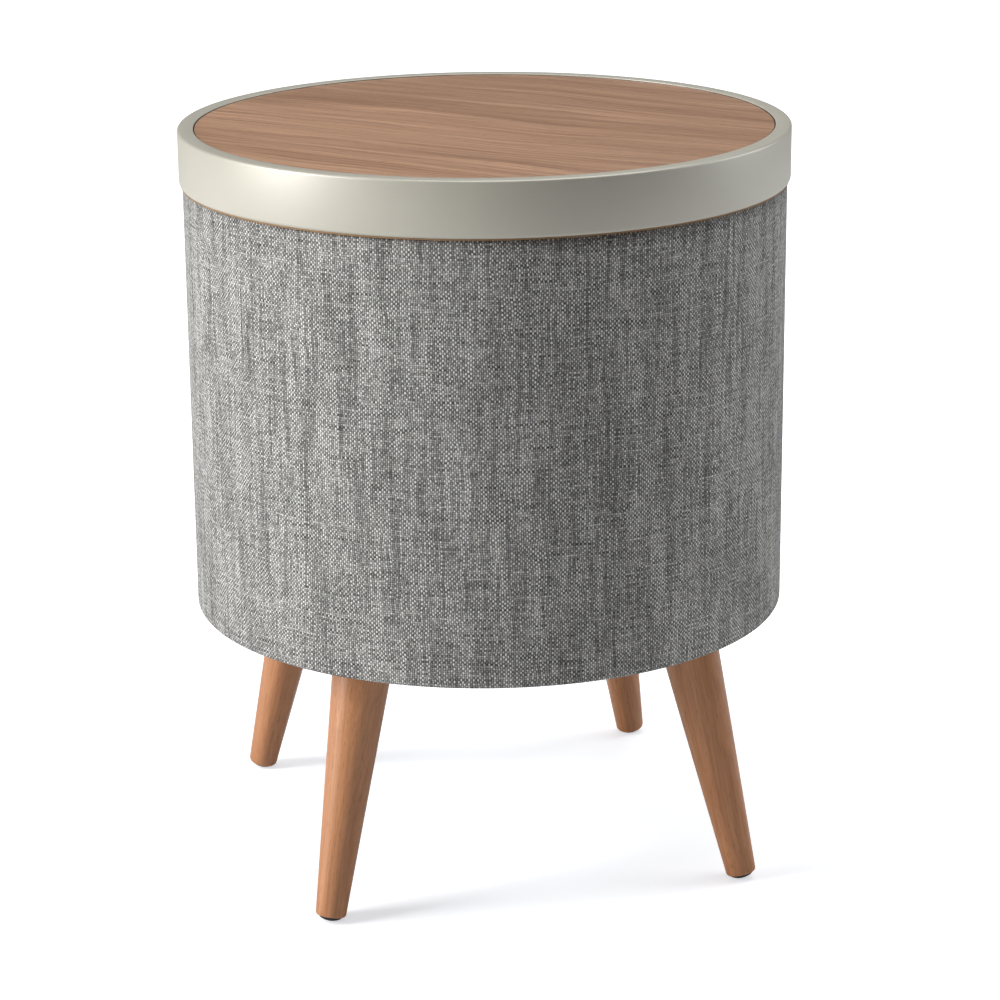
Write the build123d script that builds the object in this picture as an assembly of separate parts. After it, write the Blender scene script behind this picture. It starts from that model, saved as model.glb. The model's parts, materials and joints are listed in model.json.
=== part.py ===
from build123d import *
import math
import os

# A round side table with a speaker inside. The origin is on the floor under the middle,
# +Z is up, the control panel is at the back (+Y) and the legs stand at 45 degrees to it.

# --- Driving dimensions, in millimetres -------------------------------------------------
TABLE_HEIGHT = 504.0
RIM_RADIUS = 205.0
RIM_HEIGHT = 36.0
RIM_LAND = 10.7
FABRIC_RADIUS = 202.7
FABRIC_BOTTOM = 174.5
LEG_TOP_RADIUS_FROM_CENTRE = 155.6
LEG_FOOT_RADIUS_FROM_CENTRE = 202.4
LEG_THICK_RADIUS = 20.3
LEG_THIN_RADIUS = 9.9
PANEL_CENTRE = 235.0
DRIVER_CENTRE = 340.0

# --- Walls, gaps and levels that follow from them ---------------------------------------
FIT_GAP = 0.2
SCREW_GAP = 0.1
RIM_WALL = 3.0
RIM_INNER_WALL = 2.5
RIM_BOTTOM = TABLE_HEIGHT - RIM_HEIGHT
TOP_RECESS = 0.7
TOP_GAP = 0.5
TOP_THICKNESS = 15.3
LIP_HEIGHT = 1.2
LIP_RADIUS = RIM_RADIUS - 1.1
CARRIER_TOP = TABLE_HEIGHT - TOP_RECESS - TOP_THICKNESS
CARRIER_RADIUS = RIM_RADIUS - RIM_WALL - 0.3
DRUM_TOP = RIM_BOTTOM - LIP_HEIGHT
FABRIC_THICKNESS = 1.4
FABRIC_TUCK = 15.2
FABRIC_CORNER = 2.0
DRUM_BOTTOM = FABRIC_BOTTOM + FABRIC_THICKNESS
DRUM_RADIUS = FABRIC_RADIUS - FABRIC_THICKNESS - FIT_GAP
DRUM_INNER = DRUM_RADIUS - 9.0
INSIDE_RADIUS = DRUM_INNER - FIT_GAP
BASE_TOP = DRUM_BOTTOM + 15.0
COVER_BOTTOM = DRUM_BOTTOM - 2.0
COVER_RADIUS = 186.5
PLATE_THICKNESS = 2.5
PLATE_BOTTOM = COVER_BOTTOM - PLATE_THICKNESS
GRILLE_BOTTOM = COVER_BOTTOM - 1.5

STANDING = (Align.CENTER, Align.CENTER, Align.MIN)
LEG_NAMES = {"front_left": 225.0, "front_right": 315.0, "back_right": 45.0, "back_left": 135.0}


def save(node, *pieces):
    """Write the solids of one node to its own file."""
    solids = [solid for piece in pieces for solid in piece.solids()]
    export_step(solids[0] if len(solids) == 1 else Compound(solids), f"parts/{node}.step")


def disc(radius, bottom, top, hole=0.0):
    """A flat round plate between two levels, or a ring where it has a hole."""
    outline = Circle(radius) - Circle(hole) if hole else Circle(radius)
    return Pos(0, 0, bottom) * extrude(outline, top - bottom)


def spun(corners, rounding=None):
    """A solid of revolution about Z from (radius, height) corners, each with its rounding."""
    if rounding:
        outline = FilletPolyline(*corners, radius=rounding, close=True)
    else:
        outline = Polyline(*corners, close=True)
    return revolve(make_face(Plane.XZ * outline), Axis.Z)


def around(piece, radius, count, start=0.0):
    """Copies of a piece, evenly spaced on a circle about Z."""
    return [spot * piece for spot in PolarLocations(radius, count, start)]


def pan_screw(radius, length, head_radius, head_height):
    """A pan-head screw that points up, with the underside of its head at the origin."""
    shank = Cylinder(radius, length, align=STANDING)
    head = Pos(0, 0, -head_height) * Cylinder(head_radius, head_height, align=STANDING)
    head = fillet(head.edges().group_by(Axis.Z)[0], head_height * 0.4)
    socket = Pos(0, 0, -head_height) * Cylinder(radius * 0.55, head_height * 0.5, align=STANDING)
    return shank + head - socket


def box_between(low, high):
    """A block between its lowest and its highest corner."""
    size = [b - a for a, b in zip(low, high)]
    middle = [(a + b) / 2 for a, b in zip(low, high)]
    return Pos(*middle) * Box(*size)


def cut_all(body, tools):
    """A body with a list of tools taken out of it."""
    for tool in tools:
        body -= tool
    return body


# --- Screws -----------------------------------------------------------------------------
LONG_SCREW = (2.0, 30.0, 4.0, 2.4)
SHORT_SCREW = (1.75, 14.0, 3.5, 2.0)
PLATE_SCREW = (2.0, 15.0, 3.8, 2.2)


def screw_hole(screw, depth):
    """The clearance hole of a screw, from its head's underside up."""
    return Cylinder(screw[0] + SCREW_GAP, depth, align=STANDING)


# --- Tabletop ---------------------------------------------------------------------------
CHARGER_RADIUS = 44.0
CHARGER_TOP = CARRIER_TOP + 11.5
CHARGER_FLANGE_RADIUS = 60.0
CHARGER_FLANGE_BOTTOM = DRUM_TOP - 2.4
CHARGER_BOARD_TOP = CARRIER_TOP - 12.4
CLEAT_BOTTOM = DRUM_TOP - 18.0
CLEAT_SCREWS = (180.0, 8, 22.5)
TOP_SCREWS = (120.0, 6, 0.0)
CHARGER_SCREWS = (53.0, 4, 45.0)


def tabletop_panel():
    top = TABLE_HEIGHT - TOP_RECESS
    radius = RIM_RADIUS - RIM_LAND - TOP_GAP
    corners = [(0, CARRIER_TOP), (radius, CARRIER_TOP), (radius, top), (0, top)]
    board = spun(corners, [0, 0, 0.4, 0])
    board -= disc(CHARGER_RADIUS + 1, CARRIER_TOP, CHARGER_TOP + 0.5)
    holes = around(screw_hole(LONG_SCREW, 30.0), *TOP_SCREWS)
    return cut_all(board, [Pos(0, 0, DRUM_TOP) * hole for hole in holes])


def top_rim():
    inner = RIM_RADIUS - RIM_LAND
    corners = [
        (inner, CARRIER_TOP),
        (inner, TABLE_HEIGHT),
        (RIM_RADIUS, TABLE_HEIGHT),
        (RIM_RADIUS, RIM_BOTTOM),
        (RIM_RADIUS - RIM_WALL, RIM_BOTTOM),
        (RIM_RADIUS - RIM_WALL, TABLE_HEIGHT - RIM_WALL),
        (inner + RIM_INNER_WALL, TABLE_HEIGHT - RIM_WALL),
        (inner + RIM_INNER_WALL, CARRIER_TOP),
    ]
    return spun(corners, [0, 0.6, 1.6, 2.4, 0.4, 1.0, 1.0, 0])


def top_carrier_board():
    board = disc(CARRIER_RADIUS, RIM_BOTTOM, CARRIER_TOP) + disc(LIP_RADIUS, DRUM_TOP, RIM_BOTTOM)
    board -= disc(CHARGER_RADIUS + 1, DRUM_TOP, CARRIER_TOP)
    holes = around(screw_hole(LONG_SCREW, 30.0), *TOP_SCREWS)
    holes += around(screw_hole(SHORT_SCREW, 12.0), *CHARGER_SCREWS)
    board = cut_all(board, [Pos(0, 0, DRUM_TOP) * hole for hole in holes])
    cleat_holes = around(screw_hole(LONG_SCREW, 30.5), *CLEAT_SCREWS)
    return cut_all(board, [Pos(0, 0, CLEAT_BOTTOM) * hole for hole in cleat_holes])


def charger_housing():
    ceiling = CHARGER_TOP - 1.5
    corners = [
        (0, ceiling),
        (CHARGER_RADIUS - 4, ceiling),
        (CHARGER_RADIUS - 4, CHARGER_BOARD_TOP),
        (CHARGER_RADIUS - 1.8, CHARGER_BOARD_TOP),
        (CHARGER_RADIUS - 1.8, CHARGER_FLANGE_BOTTOM),
        (CHARGER_FLANGE_RADIUS, CHARGER_FLANGE_BOTTOM),
        (CHARGER_FLANGE_RADIUS, DRUM_TOP),
        (CHARGER_RADIUS, DRUM_TOP),
        (CHARGER_RADIUS, CHARGER_TOP),
        (0, CHARGER_TOP),
    ]
    holes = around(screw_hole(SHORT_SCREW, 3.0), *CHARGER_SCREWS)
    return cut_all(spun(corners), [Pos(0, 0, CHARGER_FLANGE_BOTTOM) * hole for hole in holes])


def save_tabletop():
    coil_top = CHARGER_TOP - 1.7
    save("tabletop_panel", tabletop_panel())
    save("top_rim", top_rim())
    save("top_carrier_board", top_carrier_board())
    save("charger_housing", charger_housing())
    save("charger_coil", disc(22.0, coil_top - 1.2, coil_top, hole=10.0))
    save("charger_ferrite", disc(25.0, coil_top - 2.4, coil_top - 1.2))
    save("charger_board", disc(CHARGER_RADIUS - 2.1, CHARGER_BOARD_TOP - 1.6, CHARGER_BOARD_TOP))
    charger_screws = around(pan_screw(*SHORT_SCREW), *CHARGER_SCREWS)
    save("charger_screws", *[Pos(0, 0, CHARGER_FLANGE_BOTTOM) * one for one in charger_screws])
    long_screw = pan_screw(*LONG_SCREW)
    panel_screws = [Pos(0, 0, DRUM_TOP) * one for one in around(long_screw, *TOP_SCREWS)]
    cleat_screws = [Pos(0, 0, CLEAT_BOTTOM) * one for one in around(long_screw, *CLEAT_SCREWS)]
    save("top_screws", *panel_screws, *cleat_screws)


# --- Cabinet ----------------------------------------------------------------------------
PANEL_WIDTH = 116.0
PANEL_HEIGHT = 56.0
PANEL_LIP = 5.0
PANEL_FLOOR = 193.0
PANEL_FLOOR_THICKNESS = 3.0
PANEL_WALL = 2.5
PANEL_GAP = 1.0
PANEL_CORNER = 6.0
DRIVER_HOLE_RADIUS = 38.0
DRIVER_FLANGE_X = 177.0
DRIVER_RING_RADIUS = 48.0
DRIVER_OPENING = 36.5
PORT_X = 120.0
PORT_RADIUS = 22.0
PORT_WALL = 2.5
PORT_LENGTH = 90.0
SUB_CUTOUT = 58.0
COVER_SCREWS = (180.0, 12, 0.0)
GRILLE_RADIUS = 70.0
GRILLE_SCREWS = (65.0, 6, 30.0)
SUB_SCREWS = (62.0, 6, 0.0)


def panel_plane(x, y, z):
    """A drawing plane that faces the back of the table."""
    return Plane(origin=(x, y, z), x_dir=(1, 0, 0), z_dir=(0, 1, 0))


def panel_block(width, height, corner, y_from, y_to):
    """A rounded block about the control panel's centre."""
    outline = RectangleRounded(width, height, corner)
    return extrude(panel_plane(0, y_from, PANEL_CENTRE) * outline, y_to - y_from)


def facing(side):
    """The place of a full-range driver: side 1 faces +X and side -1 faces -X."""
    return Rot(0, 0, 0 if side > 0 else 180) * Pos(DRIVER_FLANGE_X, 0, DRIVER_CENTRE) * Rot(0, 90, 0)


def panel_cutout():
    gap = 2 * PANEL_GAP
    return panel_block(PANEL_WIDTH + gap, PANEL_HEIGHT + gap, PANEL_CORNER, 150.0, 220.0)


def cabinet_drum():
    corners = [
        (DRUM_INNER, DRUM_BOTTOM),
        (DRUM_RADIUS, DRUM_BOTTOM),
        (DRUM_RADIUS, DRUM_TOP),
        (DRUM_INNER, DRUM_TOP),
    ]
    drum = spun(corners, [0, FABRIC_CORNER, 0, 0])
    driver_hole = Cylinder(DRIVER_HOLE_RADIUS, 60.0, align=STANDING)
    return cut_all(drum, [facing(1) * driver_hole, facing(-1) * driver_hole, panel_cutout()])


def fabric_sleeve():
    inner = FABRIC_RADIUS - FABRIC_THICKNESS
    tuck = FABRIC_RADIUS - FABRIC_TUCK
    corners = [
        (tuck, FABRIC_BOTTOM),
        (FABRIC_RADIUS, FABRIC_BOTTOM),
        (FABRIC_RADIUS, DRUM_TOP),
        (inner, DRUM_TOP),
        (inner, DRUM_BOTTOM),
        (tuck, DRUM_BOTTOM),
    ]
    rounding = [0, FABRIC_CORNER, 0, 0, FABRIC_CORNER - FABRIC_THICKNESS, 0]
    return spun(corners, rounding) - panel_cutout()


def cleat_ring():
    ring = disc(INSIDE_RADIUS, CLEAT_BOTTOM, DRUM_TOP, hole=168.0)
    holes = around(screw_hole(LONG_SCREW, 18.0), *CLEAT_SCREWS)
    return cut_all(ring, [Pos(0, 0, CLEAT_BOTTOM) * hole for hole in holes])


def underside_holes():
    """What goes through the bottom cover and into the base board from below."""
    short_hole = screw_hole(SHORT_SCREW, 14.5)
    holes = [Pos(0, 0, COVER_BOTTOM) * hole for hole in around(short_hole, *COVER_SCREWS)]
    holes += [Pos(0, 0, GRILLE_BOTTOM) * hole for hole in around(short_hole, *GRILLE_SCREWS)]
    port_hole = Cylinder(PORT_RADIUS + PORT_WALL + FIT_GAP, 40.0, align=STANDING)
    holes.append(Pos(PORT_X, 0, COVER_BOTTOM - 5) * port_hole)
    for azimuth in LEG_NAMES.values():
        boss_hole = leg_place(azimuth) * Pos(0, 0, 165.0) * Cylinder(9.0, 40.0, align=STANDING)
        holes.append(boss_hole)
        holes += [spot * screw_hole(PLATE_SCREW, 15.5) for spot in plate_screw_places(azimuth)]
    return holes


def base_board():
    board = disc(INSIDE_RADIUS, DRUM_BOTTOM, BASE_TOP, hole=SUB_CUTOUT)
    sub_holes = around(screw_hole(SHORT_SCREW, 12.0), *SUB_SCREWS)
    sub_holes = [Pos(0, 0, BASE_TOP - 12) * hole for hole in sub_holes]
    return cut_all(board, underside_holes() + sub_holes)


def bottom_cover():
    cover = disc(COVER_RADIUS, COVER_BOTTOM, DRUM_BOTTOM, hole=SUB_CUTOUT - 2)
    return cut_all(cover, underside_holes())


def port_tube():
    bottom = COVER_BOTTOM - 2.0
    corners = [
        (PORT_RADIUS + 3, bottom),
        (PORT_RADIUS + 10, bottom),
        (PORT_RADIUS + 10, COVER_BOTTOM),
        (PORT_RADIUS + PORT_WALL, COVER_BOTTOM),
        (PORT_RADIUS + PORT_WALL, bottom + PORT_LENGTH),
        (PORT_RADIUS, bottom + PORT_LENGTH),
        (PORT_RADIUS, bottom + 6),
    ]
    return Pos(PORT_X, 0, 0) * spun(corners, [1.0, 1.0, 0, 0, 0.8, 0.8, 6.0])


def sub_grille():
    thickness = COVER_BOTTOM - GRILLE_BOTTOM
    outline = Circle(GRILLE_RADIUS)
    for spot in HexLocations(5.4, 11, 11):
        if spot.position.length < 51.0:
            outline -= spot * Circle(3.2)
    for spot in PolarLocations(*GRILLE_SCREWS):
        outline -= spot * Circle(SHORT_SCREW[0] + SCREW_GAP)
    return Pos(0, 0, GRILLE_BOTTOM) * extrude(outline, thickness)


def save_cabinet():
    save("cabinet_drum", cabinet_drum())
    save("fabric_sleeve", fabric_sleeve())
    save("cleat_ring", cleat_ring())
    save("base_board", base_board())
    save("bottom_cover", bottom_cover())
    save("port_tube", port_tube())
    save("sub_grille", sub_grille())
    short_screw = pan_screw(*SHORT_SCREW)
    cover_screws = [Pos(0, 0, COVER_BOTTOM) * one for one in around(short_screw, *COVER_SCREWS)]
    grille_screws = [Pos(0, 0, GRILLE_BOTTOM) * one for one in around(short_screw, *GRILLE_SCREWS)]
    save("base_screws", *cover_screws, *grille_screws)


# --- Legs -------------------------------------------------------------------------------
LEG_SPREAD = LEG_FOOT_RADIUS_FROM_CENTRE - LEG_TOP_RADIUS_FROM_CENTRE
LEG_TILT = math.degrees(math.atan2(LEG_SPREAD, FABRIC_BOTTOM))
LEG_COS = math.cos(math.radians(LEG_TILT))
LEG_AXIS_LENGTH = FABRIC_BOTTOM / LEG_COS
LEG_END_ROUNDING = 2.0
GLIDE_RADIUS = 7.0
GLIDE_DOME = 14.0
GLIDE_STEM = 0.7
GLIDE_PIN_RADIUS = 1.5
BOLT_RADIUS = 4.0
BOSS_RADIUS = 7.5
PLATE_SIDE = 54.0
PLATE_SCREW_OFFSET = 20.5
GLIDE_CENTRE = GLIDE_DOME / LEG_COS
GLIDE_CAP = GLIDE_DOME - math.sqrt(GLIDE_DOME**2 - GLIDE_RADIUS**2)
LEG_FOOT = GLIDE_CENTRE - GLIDE_DOME + GLIDE_CAP + GLIDE_STEM
LEG_HEAD = PLATE_BOTTOM / LEG_COS


def leg_place(azimuth):
    """The frame of a leg: its origin is where the leg's axis meets the floor, +Z runs up it."""
    return Rot(0, 0, azimuth) * Pos(LEG_FOOT_RADIUS_FROM_CENTRE, 0, 0) * Rot(0, -LEG_TILT, 0)


def leg_radius(along):
    return LEG_THIN_RADIUS + along * (LEG_THICK_RADIUS - LEG_THIN_RADIUS) / LEG_AXIS_LENGTH


def leg(azimuth):
    end = LEG_HEAD + 12.0
    taper = Cone(leg_radius(LEG_FOOT), leg_radius(end), end - LEG_FOOT, align=STANDING)
    body = Pos(0, 0, LEG_FOOT) * fillet(taper.edges().group_by(Axis.Z)[0], LEG_END_ROUNDING)
    body -= Pos(0, 0, LEG_HEAD - 30) * Cylinder(BOLT_RADIUS + SCREW_GAP, 60.0, align=STANDING)
    body -= Pos(0, 0, LEG_FOOT) * Cylinder(GLIDE_PIN_RADIUS + SCREW_GAP, 13.0, align=STANDING)
    return (leg_place(azimuth) * body) & box_between((-300, -300, 0), (300, 300, PLATE_BOTTOM))


def glide(azimuth):
    tip = GLIDE_CENTRE - GLIDE_DOME
    pad = Pos(0, 0, tip) * Cylinder(GLIDE_RADIUS, LEG_FOOT - tip, align=STANDING)
    pad = pad & Pos(0, 0, GLIDE_CENTRE) * Sphere(GLIDE_DOME)
    pin = Pos(0, 0, LEG_FOOT - 1) * Cylinder(GLIDE_PIN_RADIUS, 13.0, align=STANDING)
    return leg_place(azimuth) * (pad + pin)


def plate_centre():
    level = PLATE_BOTTOM + PLATE_THICKNESS / 2
    return LEG_FOOT_RADIUS_FROM_CENTRE - level * math.tan(math.radians(LEG_TILT))


def plate_screw_places(azimuth):
    middle = Rot(0, 0, azimuth) * Pos(plate_centre(), 0, PLATE_BOTTOM)
    side = 2 * PLATE_SCREW_OFFSET
    return [middle * spot for spot in GridLocations(side, side, 2, 2)]


def leg_plate(azimuth):
    outline = RectangleRounded(PLATE_SIDE, PLATE_SIDE, 7.0)
    plate = Pos(plate_centre(), 0, PLATE_BOTTOM) * extrude(outline, PLATE_THICKNESS)
    plate = Rot(0, 0, azimuth) * plate
    boss = Pos(0, 0, LEG_HEAD - 10) * Cylinder(BOSS_RADIUS, 24.0, align=STANDING)
    boss = (leg_place(azimuth) * boss) & box_between((-300, -300, PLATE_BOTTOM), (300, 300, BASE_TOP))
    bolt_hole = Pos(0, 0, 150) * Cylinder(BOLT_RADIUS + SCREW_GAP, 60.0, align=STANDING)
    hole = screw_hole(PLATE_SCREW, PLATE_THICKNESS)
    screw_holes = [spot * hole for spot in plate_screw_places(azimuth)]
    return cut_all(plate + boss, [leg_place(azimuth) * bolt_hole] + screw_holes)


def hanger_bolt(azimuth):
    rod = Cylinder(BOLT_RADIUS, 40.0, align=STANDING)
    rod = chamfer(rod.edges().group_by(Axis.Z)[0] + rod.edges().group_by(Axis.Z)[-1], 0.8)
    return leg_place(azimuth) * Pos(0, 0, LEG_HEAD - 28) * rod


def save_legs():
    for name, azimuth in LEG_NAMES.items():
        save(f"leg_{name}", leg(azimuth))
    azimuths = LEG_NAMES.values()
    plate_screw = pan_screw(*PLATE_SCREW)
    plate_screws = [spot * plate_screw for a in azimuths for spot in plate_screw_places(a)]
    save("leg_plates", *[leg_plate(azimuth) for azimuth in azimuths])
    save("leg_glides", *[glide(azimuth) for azimuth in azimuths])
    save("leg_hanger_bolts", *[hanger_bolt(azimuth) for azimuth in azimuths])
    save("leg_plate_screws", *plate_screws)


# --- Subwoofer, which faces the floor ---------------------------------------------------
SUB_FLANGE_RADIUS = 66.0
SUB_FLANGE_TOP = BASE_TOP + 3.0
SUB_NECK = BASE_TOP + 36.9
SUB_CONE_RADIUS = 50.0
SUB_CONE_RIM = BASE_TOP - 1.1
SUB_CONE_NECK = BASE_TOP + 24.9
SUB_COIL_RADIUS = 14.3
SUB_MAGNET_RADIUS = 45.0


def sub_basket():
    corners = [
        (52, BASE_TOP),
        (SUB_FLANGE_RADIUS, BASE_TOP),
        (SUB_FLANGE_RADIUS, SUB_FLANGE_TOP),
        (58, SUB_FLANGE_TOP),
        (38, SUB_NECK),
        (38, SUB_NECK + 3),
        (17.5, SUB_NECK + 3),
        (17.5, SUB_NECK),
        (33, SUB_NECK),
        (33, SUB_NECK - 2),
        (30, SUB_NECK - 2),
        (30, SUB_NECK - 4),
        (36, SUB_NECK - 4),
        (54, SUB_FLANGE_TOP),
        (52, SUB_FLANGE_TOP),
    ]
    window = Pos(47, 0, BASE_TOP + 17.9) * Box(30, 28, 22)
    holes = [Pos(0, 0, BASE_TOP) * hole for hole in around(screw_hole(SHORT_SCREW, 3.0), *SUB_SCREWS)]
    return cut_all(spun(corners), around(window, 0.0, 6, 30.0) + holes)


def sub_magnet():
    front = SUB_NECK + 3
    corners = [
        (0, front),
        (12.6, front),
        (12.6, front + 23),
        (22, front + 23),
        (22, front + 4),
        (16.2, front + 4),
        (16.2, front),
        (40, front),
        (40, front + 4),
        (SUB_MAGNET_RADIUS, front + 4),
        (SUB_MAGNET_RADIUS, front + 29),
        (0, front + 29),
    ]
    return spun(corners)


def sub_cone():
    corners = [
        (SUB_CONE_RADIUS, SUB_CONE_RIM),
        (SUB_CONE_RADIUS, SUB_CONE_RIM + 1.4),
        (SUB_COIL_RADIUS, SUB_CONE_NECK + 1.4),
        (SUB_COIL_RADIUS, SUB_CONE_NECK + 26),
        (SUB_COIL_RADIUS - 0.7, SUB_CONE_NECK + 26),
        (SUB_COIL_RADIUS - 0.7, SUB_CONE_NECK - 0.4),
    ]
    return spun(corners)


def sub_dust_cap():
    base = SUB_CONE_NECK - 3.0
    outer = FilletPolyline((16, base), (14, base - 5), (0, base - 7), radius=[7.0])
    inner = FilletPolyline((0, base - 6.2), (13.4, base - 4.4), (15.2, base), radius=[6.4])
    rim = Line(inner @ 1, outer @ 0)
    centre = Line(outer @ 1, inner @ 0)
    outline = Wire([*outer.edges(), *centre.edges(), *inner.edges(), *rim.edges()])
    return revolve(make_face(Plane.XZ * outline), Axis.Z)


def roll_surround(inner, outer, roll, thickness):
    """A flat ring with a half-round roll, which bulges towards +Z from its lands at zero."""
    middle = (inner + outer) / 2
    ring = Circle(roll + thickness) - Circle(roll)
    upper = ring & Pos(0, roll) * Rectangle(4 * roll, 2 * roll)
    lands = Pos(middle, thickness / 2) * Rectangle(outer - inner, thickness)
    lands -= Pos(middle, thickness / 2) * Rectangle(2 * roll, thickness)
    return revolve(Plane.XZ * (Pos(middle, 0) * upper + lands), Axis.Z)


def save_subwoofer():
    save("sub_basket", sub_basket())
    save("sub_magnet", sub_magnet())
    save("sub_cone", sub_cone())
    save("sub_dust_cap", sub_dust_cap())
    surround = roll_surround(SUB_CONE_RADIUS + 0.4, SUB_CUTOUT - 0.4, 2.6, 0.8)
    save("sub_surround", Pos(0, 0, BASE_TOP) * Rot(180, 0, 0) * surround)
    save("sub_spider", disc(30.0, SUB_NECK - 5.6, SUB_NECK - 4, hole=SUB_COIL_RADIUS + 0.4))


# --- Full-range drivers, one on each side -----------------------------------------------
FLANGE_RADIUS = 46.0
FLANGE_SCREWS = (42.0, 4, 45.0)
CONE_RADIUS = 29.0
COIL_RADIUS = 9.0
MAGNET_RADIUS = 28.0
BASKET_DEPTH = 26.0


def driver_ring(side):
    """The block that carries a flat driver on the round wall."""
    block = facing(side) * Cylinder(DRIVER_RING_RADIUS, 20.0, align=STANDING)
    block = block & disc(INSIDE_RADIUS, DRIVER_CENTRE - 60, DRIVER_CENTRE + 60)
    block -= facing(side) * Cylinder(DRIVER_OPENING, 20.0, align=STANDING)
    holes = around(screw_hole(SHORT_SCREW, 11.5), *FLANGE_SCREWS)
    return cut_all(block, [facing(side) * hole for hole in holes])


def driver_basket():
    corners = [
        (33, -3),
        (33, 0),
        (FLANGE_RADIUS, 0),
        (FLANGE_RADIUS, -3),
        (38, -3),
        (26, 2 - BASKET_DEPTH),
        (26, -BASKET_DEPTH),
        (11, -BASKET_DEPTH),
        (11, 2 - BASKET_DEPTH),
        (24, 2 - BASKET_DEPTH),
        (35.5, -3),
    ]
    window = Pos(32, 0, -13) * Box(24, 20, 13)
    holes = [Pos(0, 0, -3) * hole for hole in around(screw_hole(SHORT_SCREW, 3.0), *FLANGE_SCREWS)]
    return cut_all(spun(corners), around(window, 0.0, 4, 45.0) + holes)


def driver_magnet():
    front = -BASKET_DEPTH
    corners = [
        (0, front),
        (7.8, front),
        (7.8, front - 14),
        (14, front - 14),
        (14, front - 3),
        (9.8, front - 3),
        (9.8, front),
        (24, front),
        (24, front - 3),
        (MAGNET_RADIUS, front - 3),
        (MAGNET_RADIUS, front - 18),
        (0, front - 18),
    ]
    return spun(corners)


def driver_cone():
    """A paper cone with its voice coil, closed by a dust cap."""
    neck = -12.0
    corners = [
        (0, neck + 3),
        (COIL_RADIUS + 2, neck + 1.6),
        (CONE_RADIUS, 1.0),
        (CONE_RADIUS, 0.0),
        (COIL_RADIUS, neck - 0.6),
        (COIL_RADIUS, neck - 20),
        (COIL_RADIUS - 0.6, neck - 20),
        (COIL_RADIUS - 0.6, neck + 1.4),
        (0, neck + 2.2),
    ]
    return spun(corners)


def save_drivers():
    screw = pan_screw(*SHORT_SCREW)
    from_above = Pos(0, 0, SUB_FLANGE_TOP) * Rot(180, 0, 0)
    screws = [from_above * one for one in around(screw, *SUB_SCREWS)]
    surround = roll_surround(CONE_RADIUS + 0.4, DRIVER_OPENING - 0.3, 2.2, 0.6)
    for name, side in (("left", -1), ("right", 1)):
        place = facing(side)
        save(f"{name}_driver_ring", driver_ring(side))
        save(f"{name}_driver_basket", place * driver_basket())
        save(f"{name}_driver_magnet", place * driver_magnet())
        save(f"{name}_driver_cone", place * driver_cone())
        save(f"{name}_driver_surround", place * surround)
        screws += [place * Pos(0, 0, -3) * one for one in around(screw, *FLANGE_SCREWS)]
    save("driver_screws", *screws)


# --- Control panel ----------------------------------------------------------------------
BUTTON_LEVEL = PANEL_CENTRE + 13.0
SOCKET_LEVEL = PANEL_CENTRE - 12.0
BUTTON_RADIUS = 5.0
BUTTON_SPACING = 18.0
BUTTON_NAMES = ["power", "pairing", "volume_down", "play", "volume_up"]
BUTTON_GAP = 0.15
LENS_X = 49.0
LENS_RADIUS = 1.5
INLET_X = -34.0
AUX_X = -8.0
USB_X = 26.0
FLANGE_FRONT = PANEL_FLOOR + 1.2
BOARD_FRONT = 182.0


def panel_solid(outline, x, z, y_from, y_to):
    """A flat outline on the panel, given depth from one distance behind the middle to another."""
    return extrude(panel_plane(x, y_from, z) * outline, y_to - y_from)


def button_x(index):
    return (2 - index) * BUTTON_SPACING


def rear_panel():
    back = PANEL_FLOOR - PANEL_FLOOR_THICKNESS
    lip_outer = disc(FABRIC_RADIUS + 1.5, PANEL_CENTRE - 60, PANEL_CENTRE + 60)
    lip_inner = disc(FABRIC_RADIUS + FIT_GAP, PANEL_CENTRE - 60, PANEL_CENTRE + 60)
    lip_size = 2 * PANEL_LIP
    lip = panel_block(PANEL_WIDTH + lip_size, PANEL_HEIGHT + lip_size, PANEL_CORNER + 3, 150, 220)
    tub = panel_block(PANEL_WIDTH, PANEL_HEIGHT, PANEL_CORNER, back, 220)
    wall = 2 * PANEL_WALL
    recess = panel_block(PANEL_WIDTH - wall, PANEL_HEIGHT - wall, PANEL_CORNER - 2, PANEL_FLOOR, 220)
    panel = (tub & lip_outer) + ((lip & lip_outer) - lip_inner) - recess
    cuts = [(Circle(BUTTON_RADIUS + BUTTON_GAP), button_x(i), BUTTON_LEVEL) for i in range(5)]
    cuts.append((Circle(LENS_RADIUS + SCREW_GAP), LENS_X, BUTTON_LEVEL))
    cuts.append((RectangleRounded(19.4, 12.4, 1.0), INLET_X, SOCKET_LEVEL))
    cuts.append((Circle(4.2), AUX_X, SOCKET_LEVEL))
    cuts.append((RectangleRounded(34.4, 10.4, 1.0), USB_X, SOCKET_LEVEL))
    return cut_all(panel, [panel_solid(*cut, back, PANEL_FLOOR) for cut in cuts])


def button(index):
    x = button_x(index)
    cap = panel_solid(Circle(BUTTON_RADIUS), x, BUTTON_LEVEL, PANEL_FLOOR - 4.5, PANEL_FLOOR + 2.2)
    cap = fillet(cap.edges().group_by(Axis.Y)[-1], 0.8)
    flange = panel_solid(Circle(BUTTON_RADIUS + 1.3), x, BUTTON_LEVEL, PANEL_FLOOR - 4.5, PANEL_FLOOR - 3.1)
    stem = panel_solid(Circle(2.0), x, BUTTON_LEVEL, BOARD_FRONT + 3.8, PANEL_FLOOR - 4.0)
    return cap + flange + stem


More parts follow.
